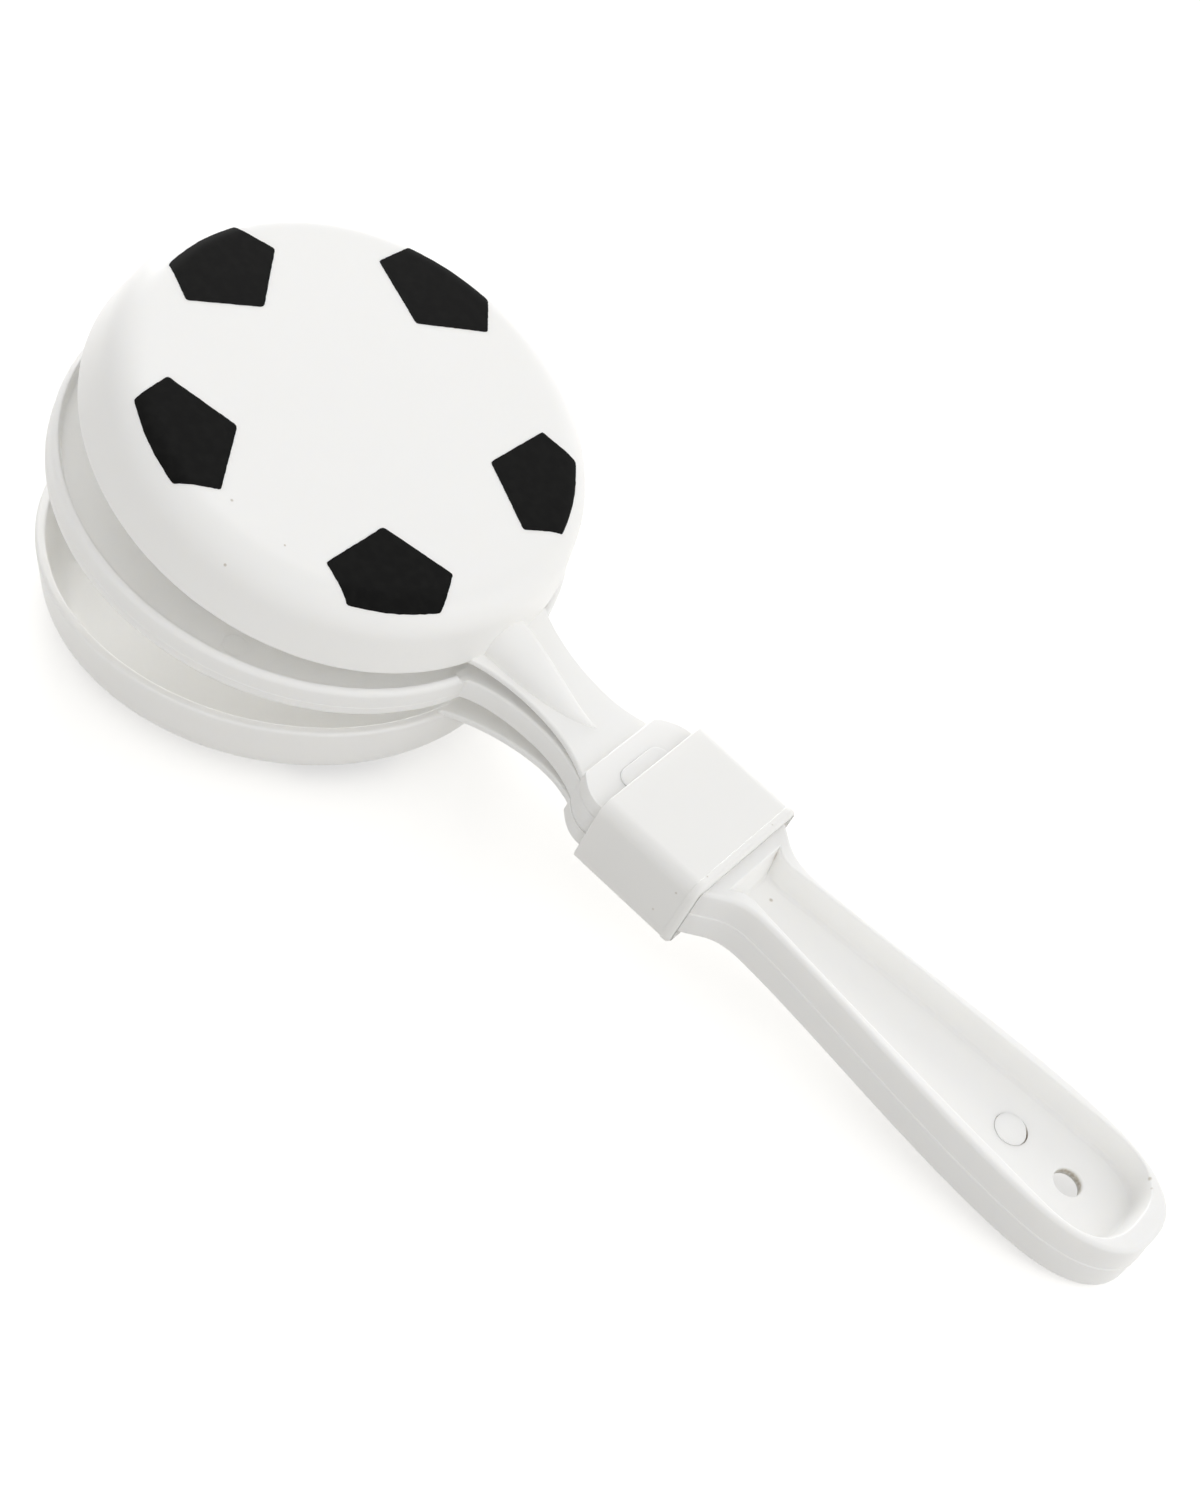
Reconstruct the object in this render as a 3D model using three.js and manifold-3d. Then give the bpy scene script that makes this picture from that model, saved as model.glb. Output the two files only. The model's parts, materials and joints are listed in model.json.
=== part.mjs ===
// A noise maker for cheering: two round cups clap against a round paddle when the grip is shaken.
// The mouldings are modelled along the grip: x runs from the paddle's centre to the grip's end,
// y runs across and z runs up. The finished group is then leaned over, as the clapper lies on a table.

import * as THREE from 'three';
import { mergeVertices } from 'three/addons/utils/BufferGeometryUtils.js';
import Module from 'manifold-3d';

const wasm = await Module();
wasm.setup();

// Driving dimensions, in millimetres

const clearance = 0.3;          // between pieces that fit together
const roundSteps = 40;          // facets around the cups and the paddle's disc, one of them facing along x
const curveSteps = 6;           // facets along each curved stretch of an outline

const disc = {
  radius: 38,                   // outside of the rim
  halfHeight: 2.6,              // middle plane to the rim's top
  edge: 0.9,                    // bevel on the rim's outer edges
  rimWidth: 1.9,
  webThickness: 2.0,            // the round floor inside the rim
};

const cup = {
  rimRadius: 37,
  draft: 1.2,                   // how much narrower the skirt is at the crown
  height: 10.6,
  crownFillet: 5.4,
  crownRise: 0.3,               // how far the crown's middle swells
  wall: 1.5,
};

const neck = {
  halfHeight: 1.9,
  rootHalfWidth: 8.8,           // where it leaves the disc
  waistHalfWidth: 5.5,
  waistX: 48.5,
};

const arm = {
  thickness: 1.1,               // thin enough to flex at the crease
  gussetHalfWidth: 5.6,         // half cone on the arm's back, at the cup
  gussetHeight: 3,
  gussetTipX: 53.5,
};

const hinge = {
  x: 57.9,                      // the crease where the arm flexes
  creaseHalfWidth: 7.7,
  upperOpening: THREE.MathUtils.degToRad(6.8),
  lowerOpening: THREE.MathUtils.degToRad(10),
};

const plate = {
  thickness: 2.25,              // hinge plate, clamped under the collar
  halfWidth: 10.6,
  earLength: 5,                 // curved front, from the crease to the full width
  length: 17.8,
};

const key = {
  distance: 5.1,                // lug that holds the hinge plates on the paddle, from the crease
  width: 4,
  halfLength: 4.8,
  proud: 0.55,                  // above the hinge plate
};

const collar = {
  distance: 5.7,                // from the crease to its front edge
  length: 17.8,
  sideWall: 1,
  faceWall: 1.2,
  cornerRadius: 2,
  lipLength: 1.4,
  lipRise: 0.25,
};

const grip = {
  halfHeight: 4.8,
  edge: 0.8,                    // bevel along the outer edges
  waistDistance: 7.8,           // this and the next lengths start at the collar's end
  waistHalfWidth: 6.35,
  bellyDistance: 56.6,
  bellyHalfWidth: 10.3,
  length: 73.8,
  endPower: 2.5,                // squareness of the round end
  endFlat: 2.5,                 // half width of the straight stretch at the very end
};

const pocket = {
  distance: 1.8,                // from the collar's end to the pocket's front wall
  frontHalfWidth: 6,
  sideWall: 1.7,
  endWall: 3.4,
  endPower: 3,
  endFlat: 1.5,
  webThickness: 1.7,            // floor between the two pockets
};

const hangingHole = { endDistance: 13.3, radius: 2.1 };

// Levels and places that follow from the driving dimensions

const plateBottom = neck.halfHeight + clearance;
const plateTop = plateBottom + plate.thickness;
const armTop = plateBottom + arm.thickness;
const hingeZ = plateBottom + arm.thickness / 2;
const keyTop = plateTop + key.proud;
const crownTop = disc.halfHeight + cup.height;
const crownRadius = cup.rimRadius - cup.draft;
const plateFrontX = hinge.x + clearance / 2;
const plateEndX = plateFrontX + plate.length;
const shoulderX = plateEndX + clearance;
const keyX = hinge.x + key.distance;
const collarFrontX = hinge.x + collar.distance;
const collarEndX = collarFrontX + collar.length;
const waistX = collarEndX + grip.waistDistance;
const bellyX = collarEndX + grip.bellyDistance;
const gripEndX = collarEndX + grip.length;
const pocketFrontX = collarEndX + pocket.distance;
const holeX = gripEndX - hangingHole.endDistance;
const collarBoreHalfWidth = plate.halfWidth + clearance;
const collarBoreHalfHeight = keyTop + clearance;
const collarHalfWidth = collarBoreHalfWidth + collar.sideWall;
const collarHalfHeight = collarBoreHalfHeight + collar.faceWall;

// Solids

function solid(geometry) {
  const bare = geometry.clone();
  bare.deleteAttribute('normal');
  bare.deleteAttribute('uv');
  const merged = mergeVertices(bare, 1e-5);
  const corners = merged.index.array;
  const triVerts = [];
  for (let i = 0; i < corners.length; i += 3) {
    const [a, b, c] = [corners[i], corners[i + 1], corners[i + 2]];
    if (a !== b && b !== c && c !== a) triVerts.push(a, b, c);
  }
  return new wasm.Manifold(new wasm.Mesh({
    numProp: 3,
    vertProperties: new Float32Array(merged.attributes.position.array),
    triVerts: new Uint32Array(triVerts),
  }));
}

function piece(name, shape, material) {
  const { vertProperties, triVerts } = shape.getMesh();
  const geometry = new THREE.BufferGeometry();
  geometry.setAttribute('position', new THREE.BufferAttribute(vertProperties, 3));
  geometry.setIndex(new THREE.BufferAttribute(triVerts, 1));
  geometry.computeVertexNormals();
  const mesh = new THREE.Mesh(geometry, material);
  mesh.name = name;
  return mesh;
}

function whitePlastic(roughness) {
  return new THREE.MeshStandardMaterial({ color: 0xf1f0ec, roughness, metalness: 0 });
}

// Outlines seen from above: a list of points on the +y side, mirrored to the other side

function bezier(from, control1, control2, to) {
  const ends = [from, control1, control2, to].map(([x, y]) => new THREE.Vector2(x, y));
  return new THREE.CubicBezierCurve(...ends).getPoints(curveSteps);
}

function roundEnd(centreX, halfWidth, endX, { endPower, endFlat }) {
  const points = [];
  for (let i = 0; i < 2 * curveSteps; i += 1) {
    const angle = (Math.PI / 2) * (i / (2 * curveSteps));
    const along = Math.sin(angle) ** (2 / endPower);
    const across = Math.cos(angle) ** (2 / endPower);
    points.push(new THREE.Vector2(centreX + (endX - centreX) * along, halfWidth * across));
  }
  return [...points.filter((point) => point.y > endFlat), new THREE.Vector2(endX, endFlat)];
}

function mirrored(side) {
  const distinct = side.filter((point, i) => i === 0 || point.distanceTo(side[i - 1]) > 1e-6);
  const other = distinct.map((point) => new THREE.Vector2(point.x, -point.y)).reverse();
  return new THREE.Shape([...distinct, ...other]);
}

function slab(shape, bottom, top, bevel = 0) {
  const geometry = new THREE.ExtrudeGeometry(shape, {
    depth: top - bottom - 2 * bevel,
    bevelEnabled: bevel > 0,
    bevelThickness: bevel,
    bevelSize: bevel,
    bevelOffset: -bevel,
    bevelSegments: 1,
    curveSegments: curveSteps,
  });
  geometry.translate(0, 0, bottom + bevel);
  return solid(geometry);
}

function turned(profile) {
  const points = profile.map(([r, z]) => new THREE.Vector2(r, z));
  const geometry = new THREE.LatheGeometry(points, roundSteps);
  return solid(geometry.rotateX(Math.PI / 2).rotateZ(Math.PI / roundSteps));
}

// The waisted neck, from the disc to the crease; the arms above and below it share its outline

function neckSide(rootX) {
  const root = [rootX, neck.rootHalfWidth];
  const waist = [neck.waistX, neck.waistHalfWidth];
  const crease = [hinge.x, hinge.creaseHalfWidth];
  const rootRun = neck.waistX - rootX;
  const creaseRun = hinge.x - neck.waistX;
  return [
    ...bezier(
      root,
      [rootX + 0.22 * rootRun, THREE.MathUtils.lerp(waist[1], root[1], 0.27)],
      [neck.waistX - 0.4 * rootRun, waist[1]],
      waist,
    ),
    ...bezier(
      waist,
      [neck.waistX + 0.42 * creaseRun, waist[1]],
      [hinge.x - 0.3 * creaseRun, THREE.MathUtils.lerp(waist[1], crease[1], 0.36)],
      crease,
    ),
  ];
}

// The ears, from the crease to the full width; the hinge plates and the paddle's block share them

function earSide(startX) {
  const fullX = hinge.x + plate.earLength;
  const rise = plate.halfWidth - hinge.creaseHalfWidth;
  return bezier(
    [startX, hinge.creaseHalfWidth],
    [startX + 0.26 * plate.earLength, hinge.creaseHalfWidth + 0.52 * rise],
    [fullX - 0.4 * plate.earLength, plate.halfWidth],
    [fullX, plate.halfWidth],
  );
}

function keyShape(growth) {
  const radius = key.width / 2 + growth;
  const middle = key.halfLength - key.width / 2;
  const shape = new THREE.Shape();
  shape.absarc(keyX, middle, radius, 0, Math.PI, false);
  shape.absarc(keyX, -middle, radius, Math.PI, 2 * Math.PI, false);
  return shape;
}

// The paddle: disc, neck, block and grip in one moulding

function discBody() {
  const { radius, halfHeight, edge, rimWidth } = disc;
  const inner = radius - rimWidth;
  const web = disc.webThickness / 2;
  const body = turned([
    [0, -web],
    [inner, -web],
    [inner, -halfHeight],
    [radius - edge, -halfHeight],
    [radius, -halfHeight + edge],
    [radius, halfHeight - edge],
    [radius - edge, halfHeight],
    [inner, halfHeight],
    [inner, web],
    [0, web],
  ]);
  return body.subtract(armPassage(1)).subtract(armPassage(-1));
}

function armPassage(side) {
  const start = cup.rimRadius - cup.wall - 2 * clearance;
  const halfWidth = neck.rootHalfWidth + clearance;
  const depth = disc.halfHeight - neck.halfHeight;
  const block = new THREE.BoxGeometry(disc.radius + 1 - start, 2 * halfWidth, depth + 1);
  block.translate((disc.radius + 1 + start) / 2, 0, side * (neck.halfHeight + (depth + 1) / 2));
  return solid(block);
}

function neckAndBlock() {
  const rootX = disc.radius - disc.rimWidth;
  const block = [new THREE.Vector2(shoulderX + 1, plate.halfWidth)];
  const side = [...neckSide(rootX), ...earSide(hinge.x), ...block];
  return slab(mirrored(side), -neck.halfHeight, neck.halfHeight);
}

function shoulder() {
  const length = collarEndX - clearance - shoulderX;
  const block = new THREE.BoxGeometry(length, 2 * plate.halfWidth, 2 * keyTop);
  block.translate(shoulderX + length / 2, 0, 0);
  return solid(block);
}

function gripBody() {
  const startX = collarEndX - 1;
  const waist = [waistX, grip.waistHalfWidth];
  const belly = [bellyX, grip.bellyHalfWidth];
  const shoulderRun = waistX - startX;
  const taperRun = bellyX - waistX;
  const side = [
    ...bezier(
      [startX, plate.halfWidth],
      [startX + 0.4 * shoulderRun, THREE.MathUtils.lerp(waist[1], plate.halfWidth, 0.55)],
      [waistX - 0.55 * shoulderRun, waist[1]],
      waist,
    ),
    ...bezier(
      waist,
      [waistX + 0.26 * taperRun, THREE.MathUtils.lerp(waist[1], belly[1], 0.06)],
      [bellyX - 0.33 * taperRun, belly[1]],
      belly,
    ),
    ...roundEnd(bellyX, grip.bellyHalfWidth, gripEndX, grip),
  ];
  return slab(mirrored(side), -grip.halfHeight, grip.halfHeight, grip.edge);
}

function pocketCutter() {
  const waist = [waistX, grip.waistHalfWidth - pocket.sideWall];
  const belly = [bellyX, grip.bellyHalfWidth - pocket.sideWall];
  const frontRun = waistX - pocketFrontX;
  const taperRun = bellyX - waistX;
  const side = [
    ...bezier(
      [pocketFrontX, pocket.frontHalfWidth],
      [pocketFrontX + 0.2 * frontRun, THREE.MathUtils.lerp(waist[1], pocket.frontHalfWidth, 0.4)],
      [pocketFrontX + 0.55 * frontRun, waist[1]],
      waist,
    ),
    ...bezier(
      waist,
      [waistX + 0.26 * taperRun, THREE.MathUtils.lerp(waist[1], belly[1], 0.28)],
      [bellyX - 0.35 * taperRun, THREE.MathUtils.lerp(waist[1], belly[1], 0.82)],
      belly,
    ),
    ...roundEnd(bellyX, belly[1], gripEndX - pocket.endWall, pocket),
  ];
  const floor = pocket.webThickness / 2;
  return slab(mirrored(side), floor, 2 * grip.halfHeight);
}

function paddleBody() {
  const lugs = slab(keyShape(0), -keyTop, keyTop);
  const hole = new THREE.CylinderGeometry(hangingHole.radius, hangingHole.radius, 2 * grip.halfHeight, 24);
  hole.rotateX(Math.PI / 2).translate(holeX, 0, 0);
  const cutter = pocketCutter();
  return discBody()
    .add(neckAndBlock())
    .add(lugs)
    .add(shoulder())
    .add(gripBody())
    .subtract(cutter)
    .subtract(cutter.rotate([180, 0, 0]))
    .subtract(solid(hole));
}

// One cup with its arm, drawn as the upper one in its closed place

function cupBody() {
  const { rimRadius, wall, crownFillet, crownRise } = cup;
  const innerFillet = crownFillet - wall;
  const fillet = (radius) => {
    const points = [];
    for (let i = 0; i <= curveSteps; i += 1) {
      const angle = (Math.PI / 2) * (i / curveSteps);
      points.push([
        crownRadius - crownFillet + radius * Math.cos(angle),
        crownTop - crownFillet + radius * Math.sin(angle),
      ]);
    }
    return points;
  };
  const outer = fillet(crownFillet);
  const inner = fillet(innerFillet).reverse();
  return turned([
    [0, crownTop - wall + crownRise],
    ...inner,
    [rimRadius - wall, disc.halfHeight],
    [rimRadius, disc.halfHeight],
    ...outer,
    [0, crownTop + crownRise],
  ]);
}

function armBody() {
  const rootX = cup.rimRadius - cup.wall / 2 - 1;
  const creaseX = hinge.x - clearance / 2;
  const side = neckSide(rootX).filter((point) => point.x < creaseX);
  side.push(new THREE.Vector2(creaseX, hinge.creaseHalfWidth));
  const strip = slab(mirrored(side), plateBottom, armTop);
  const gussetLength = arm.gussetTipX - rootX;
  const gusset = new THREE.CylinderGeometry(0.3, arm.gussetHalfWidth, gussetLength, 24);
  gusset.rotateZ(-Math.PI / 2);
  gusset.scale(1, 1, arm.gussetHeight / arm.gussetHalfWidth);
  gusset.translate(rootX + gussetLength / 2, 0, armTop - 0.1);
  const gussetSolid = solid(gusset).intersect(aboveArm());
  const inside = new THREE.CylinderGeometry(
    crownRadius - cup.wall, cup.rimRadius - cup.wall, 2 * cup.height, roundSteps,
  );
  inside.rotateX(Math.PI / 2).translate(0, 0, disc.halfHeight);
  return strip.add(gussetSolid).subtract(solid(inside));
}

function aboveArm() {
  const half = disc.radius;
  const block = new THREE.BoxGeometry(2 * half, 2 * half, 2 * half);
  block.translate(hinge.x, 0, plateBottom + arm.thickness / 2 + half);
  return solid(block);
}

// The hinge plate, clamped on the block by the collar and held by the lug in its slot

function plateBody() {
  const side = [...earSide(plateFrontX), new THREE.Vector2(plateEndX, plate.halfWidth)];
  return slab(mirrored(side), plateBottom, plateTop)
    .subtract(slab(keyShape(clearance), plateBottom - 1, plateTop + 1));
}

// The collar: a square sleeve pushed over the hinge plates

function roundedRectangle(halfHeight, halfWidth, radius) {
  const shape = new THREE.Shape();
  const [h, w] = [halfHeight - radius, halfWidth - radius];
  shape.absarc(h, w, radius, 0, Math.PI / 2, false);
  shape.absarc(-h, w, radius, Math.PI / 2, Math.PI, false);
  shape.absarc(-h, -w, radius, Math.PI, 1.5 * Math.PI, false);
  shape.absarc(h, -w, radius, 1.5 * Math.PI, 2 * Math.PI, false);
  return shape;
}

function alongX(shape, startX, endX) {
  const geometry = new THREE.ExtrudeGeometry(shape, {
    depth: endX - startX, bevelEnabled: false, curveSegments: curveSteps,
  });
  return solid(geometry.rotateY(Math.PI / 2).translate(startX, 0, 0));
}

function collarBody() {
  const { cornerRadius, lipRise, lipLength } = collar;
  const outside = roundedRectangle(collarHalfHeight, collarHalfWidth, cornerRadius);
  const lip = roundedRectangle(
    collarHalfHeight + lipRise, collarHalfWidth + lipRise, cornerRadius + lipRise,
  );
  const bore = roundedRectangle(collarBoreHalfHeight, collarBoreHalfWidth, clearance);
  return alongX(outside, collarFrontX, collarEndX)
    .add(alongX(lip, collarEndX - lipLength, collarEndX))
    .subtract(alongX(bore, collarFrontX - 1, collarEndX + 1));
}

// The assembly

const upperSwing = new THREE.Group();
upperSwing.position.set(hinge.x, 0, hingeZ);
upperSwing.rotation.y = hinge.upperOpening;
const upperCup = piece('upper_cup', cupBody().add(armBody()), whitePlastic(0.4));
upperCup.position.set(-hinge.x, 0, -hingeZ);
upperSwing.add(upperCup);

const lowerSwing = new THREE.Group();
lowerSwing.position.set(hinge.x, 0, -hingeZ);
lowerSwing.rotation.y = -hinge.lowerOpening;
const lowerCup = piece('lower_cup', cupBody().add(armBody()), whitePlastic(0.4));
lowerCup.rotation.x = Math.PI;
lowerCup.position.set(-hinge.x, 0, hingeZ);
lowerSwing.add(lowerCup);

const upperPlate = piece('upper_hinge_plate', plateBody(), whitePlastic(0.4));
const lowerPlate = piece('lower_hinge_plate', plateBody(), whitePlastic(0.4));
lowerPlate.rotation.x = Math.PI;

const clapper = new THREE.Group();
clapper.add(
  piece('paddle', paddleBody(), whitePlastic(0.42)),
  piece('collar', collarBody(), whitePlastic(0.38)),
  upperPlate,
  lowerPlate,
  upperSwing,
  lowerSwing,
);

// On a table the clapper leans on the lower cup's far edge and on the grip's end, two rounded
// edges seen from the side as circles that the table touches.

const crownEdge = new THREE.Vector2(crownFilletX(), cup.crownFillet - crownTop)
  .rotateAround(new THREE.Vector2(hinge.x, -hingeZ), hinge.lowerOpening);
const gripEdge = new THREE.Vector2(gripEndX - grip.edge, grip.edge - grip.halfHeight);
const span = gripEdge.clone().sub(crownEdge);
clapper.rotation.y = Math.asin((cup.crownFillet - grip.edge) / span.length()) + span.angle();

function crownFilletX() {
  return cup.crownFillet - crownRadius;
}

// The origin is the middle of the lying clapper's footprint, on the table.

const box = new THREE.Box3().setFromObject(clapper, true);
clapper.position.set(-(box.min.x + box.max.x) / 2, 0, -box.min.z);

export default clapper;
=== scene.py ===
# %% [markdown]
# # A hand clapper, dressed for its photograph
#
# The real object is a cheering toy in four white mouldings: a round paddle with a long grip, two
# round cups on springy arms that clap against the paddle, and a square collar that holds them
# together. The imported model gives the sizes, the places and the moving bodies. It is made of flat
# facets, as a machinist would draw it. This script gives every piece the soft edges, the draft and
# the finish that an injection mould leaves, and never moves anything.

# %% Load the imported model
import json

import bmesh
import bpy
import numpy as np
from mathutils import Matrix, Vector


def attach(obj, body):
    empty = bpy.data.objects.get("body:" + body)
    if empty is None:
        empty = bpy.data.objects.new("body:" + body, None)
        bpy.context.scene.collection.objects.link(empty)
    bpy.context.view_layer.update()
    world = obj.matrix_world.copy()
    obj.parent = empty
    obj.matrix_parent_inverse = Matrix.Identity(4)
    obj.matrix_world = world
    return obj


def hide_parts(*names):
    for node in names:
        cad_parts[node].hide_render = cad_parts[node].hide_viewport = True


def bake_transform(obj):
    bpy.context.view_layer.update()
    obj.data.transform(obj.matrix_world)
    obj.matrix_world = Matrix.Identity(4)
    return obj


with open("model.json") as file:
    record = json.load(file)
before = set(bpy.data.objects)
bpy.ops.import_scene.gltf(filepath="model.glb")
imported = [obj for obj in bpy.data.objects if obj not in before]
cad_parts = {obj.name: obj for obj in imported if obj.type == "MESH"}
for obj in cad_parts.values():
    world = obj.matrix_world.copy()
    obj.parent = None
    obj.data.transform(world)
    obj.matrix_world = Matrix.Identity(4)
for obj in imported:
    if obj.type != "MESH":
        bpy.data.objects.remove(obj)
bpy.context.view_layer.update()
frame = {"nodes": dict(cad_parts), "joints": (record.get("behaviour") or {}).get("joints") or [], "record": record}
print("nodes:", sorted(frame["nodes"]))

# %% [markdown]
# ## One straight frame to draw in
#
# On the table the clapper leans: it rests on the far edge of the lower cup and on the end of its
# grip. Shapes are far easier to write along the grip, so each piece is drawn in a straight frame
# in millimetres: x runs from the paddle's centre to the grip's end, y across, z up from the
# paddle's middle plane. The lean could be typed in, but it is safer to read it from the model:
# two places that are known in both frames, the crease of the arms and the spot on the web where
# the clapper hangs, give the angle and the shift.

# %% The lean, from two known places
MM = 0.001
CREASE_X = 57.9                 # where both arms flex
CREASE_Z = 2.75                 # middle of an arm's thickness, above the middle plane
WEB_SPOT = (136.0, 0.85)        # the hanging spot in the straight frame, x and z

joints = {joint["name"]: joint for joint in frame["joints"]}
mounts = {mount["name"]: mount for mount in frame["record"]["mounts"]}
upper_axis = np.array(joints["upper_arm_flex"]["pos_m"]) / MM
lower_axis = np.array(joints["lower_arm_flex"]["pos_m"]) / MM
crease = (upper_axis + lower_axis) / 2
web_spot = np.array(mounts["hanging_web"]["pos_m"]) / MM


def angle_of(run, rise):
    """The slope of a line as an angle: the arc tangent of its rise over its run."""
    return np.arctan2(rise, run)


lean = angle_of(WEB_SPOT[0] - CREASE_X, WEB_SPOT[1]) - angle_of(
    web_spot[0] - crease[0], web_spot[2] - crease[2])


def turned_about_y(points, angle, centre_x=0.0, centre_z=0.0):
    """Points turned about a line along y: x' = x cos + z sin and z' = z cos - x sin, measured from
    the line. A positive angle lowers what lies in front. The angle may differ by point."""
    x, z = points[..., 0] - centre_x, points[..., 2] - centre_z
    cos, sin = np.cos(angle), np.sin(angle)
    return np.stack([
        x * cos + z * sin + centre_x, points[..., 1], z * cos - x * sin + centre_z], -1)


shift = crease - turned_about_y(np.array([CREASE_X, 0.0, 0.0]), lean)


def on_the_table(points):
    """From the straight frame to the table: turned by the lean, then shifted. Still millimetres."""
    return turned_about_y(points, lean) + shift


print("lean", round(np.degrees(lean), 4), "degrees, shift", shift.round(3), "mm")

# %% [markdown]
# ## From arrays to meshes
#
# Every shape below is worked out as a grid of points: rows are stations or levels, columns go
# round a closed loop. Blender's own primitives could be edited into these shapes, but a formula
# is easier to correct when a radius turns out half a millimetre off. These helpers turn a grid
# into a clean closed shell: one makes the four-sided faces, one closes the ends, and one welds the
# poles and turns the faces outward.

# %% Helpers: grids and shells
def grid(points):
    """A grid of points becomes (vertices, faces). Face (i, j) joins points (i, j), (i+1, j),
    (i+1, j+1) and (i, j+1), and the last column meets the first."""
    rows, columns = points.shape[:2]
    index = np.arange(rows * columns).reshape(rows, columns)
    index = np.hstack([index, index[:, :1]])
    faces = np.stack([index[:-1, :-1], index[1:, :-1], index[1:, 1:], index[:-1, 1:]], -1)
    return points.reshape(-1, 3), faces.reshape(-1, 4)


def closed_with_centres(loops):
    """Adds a first and a last row on the middle of their neighbours, so that both ends close."""
    first = np.broadcast_to(loops[0].mean(0), loops[0].shape)
    last = np.broadcast_to(loops[-1].mean(0), loops[-1].shape)
    return np.concatenate([first[None], loops, last[None]])


def shell(name, points):
    """A closed grid becomes a mesh object, welded into one clean skin."""
    vertices, faces = grid(points)
    mesh = bpy.data.meshes.new(name)
    mesh.from_pydata((vertices * MM).tolist(), [], faces.tolist())
    piece = bpy.data.objects.new(name, mesh)
    bpy.context.scene.collection.objects.link(piece)
    weld(mesh)
    return piece


def weld(mesh):
    """Points closer than two thousandths of a millimetre become one, and the faces turn outward."""
    work = bmesh.new()
    work.from_mesh(mesh)
    bmesh.ops.remove_doubles(work, verts=work.verts, dist=0.002 * MM)
    bmesh.ops.dissolve_degenerate(work, edges=work.edges, dist=0.001 * MM)
    bmesh.ops.recalc_face_normals(work, faces=work.faces)
    work.to_mesh(mesh)
    work.free()


# %% [markdown]
# A moulding is one body, even where a bar meets a disc. Its shells could simply overlap, but light
# that goes into the plastic would then meet walls inside it. So the shells of one moulding are
# melted together by Boolean modifiers, as the mould does.

# %% Helper: one moulding from several shells
def melted(name, body, added=(), cut=()):
    """One moulding from several shells: the added ones are united with the body and the cut ones
    are taken away. The shells themselves are removed afterwards."""
    for tools, operation in ((added, "UNION"), (cut, "DIFFERENCE")):
        for tool in tools:
            step = body.modifiers.new(tool.name, "BOOLEAN")
            step.object, step.operation, step.solver = tool, operation, "MANIFOLD"
    bpy.context.view_layer.update()
    cut_and_joined = body.evaluated_get(bpy.context.evaluated_depsgraph_get())
    mesh = bpy.data.meshes.new_from_object(cut_and_joined)
    mesh.name = name
    for used in (body, *added, *cut):
        bpy.data.objects.remove(used)
    piece = bpy.data.objects.new(name, mesh)
    bpy.context.scene.collection.objects.link(piece)
    weld(mesh)
    return piece


# %% [markdown]
# A finished piece could be an object that is turned and moved to its place. Here the object stays
# at the origin and its points are moved instead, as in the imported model, so that all pieces share
# one frame. The finishes need to know where each point was drawn, so that is kept beside it.

# %% Helper: a piece set down on the table
SHARP_ANGLE = np.radians(28)    # edges that bend more than this are shaded as sharp


def set_down(piece, place=on_the_table):
    """Remembers where each point was drawn, as the attribute that the finishes read, moves the
    points to their place on the table, and shades all but the sharp creases smoothly."""
    flat = np.empty(len(piece.data.vertices) * 3, np.float32)
    piece.data.vertices.foreach_get("co", flat)
    drawn = flat.reshape(-1, 3).astype(float) / MM
    told = piece.data.attributes.new("drawn", "FLOAT_VECTOR", "POINT")
    told.data.foreach_set("vector", (drawn * MM).astype(np.float32).ravel())
    piece.data.vertices.foreach_set("co", (place(drawn) * MM).astype(np.float32).ravel())
    piece.data.update()
    piece.data.shade_smooth()
    piece.data.set_sharp_from_angle(angle=SHARP_ANGLE)
    print(piece.name, len(piece.data.vertices), "points,", len(piece.data.polygons), "faces")
    return piece


# %% [markdown]
# ## Lines that a mould maker draws
#
# Two kinds of line give nearly every shape here. A smooth run between two points is the usual
# curve with two handles. A wall section is a chain of straight runs whose corners are rounded by a
# small cutter; each corner carries its own radius. Short extra points beside each rounding keep
# the shading of the flats from leaking into the edges.

# %% Helpers: runs and chains
EDGE_STEPS = 6                  # faces across one rounded edge
HOLD = 0.18                     # distance of the extra points beside a rounding


def run(start, handle, other_handle, end, steps=24):
    """A curve from start to end: (1-t)^3, 3t(1-t)^2, 3t^2(1-t) and t^3 weigh its four points."""
    t = np.linspace(0, 1, steps + 1)[:, None]
    weights = ((1 - t) ** 3, 3 * t * (1 - t) ** 2, 3 * t ** 2 * (1 - t), t ** 3)
    return sum(w * np.array(p, float) for w, p in zip(weights, (start, handle, other_handle, end)))


def between(low, high, share):
    """The value that lies the given share of the way from low to high."""
    return low + (high - low) * share


def eased(share):
    """A soft step from 0 to 1: 3t^2 - 2t^3, held at its ends."""
    t = np.clip(share, 0, 1)
    return t * t * (3 - 2 * t)


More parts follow.
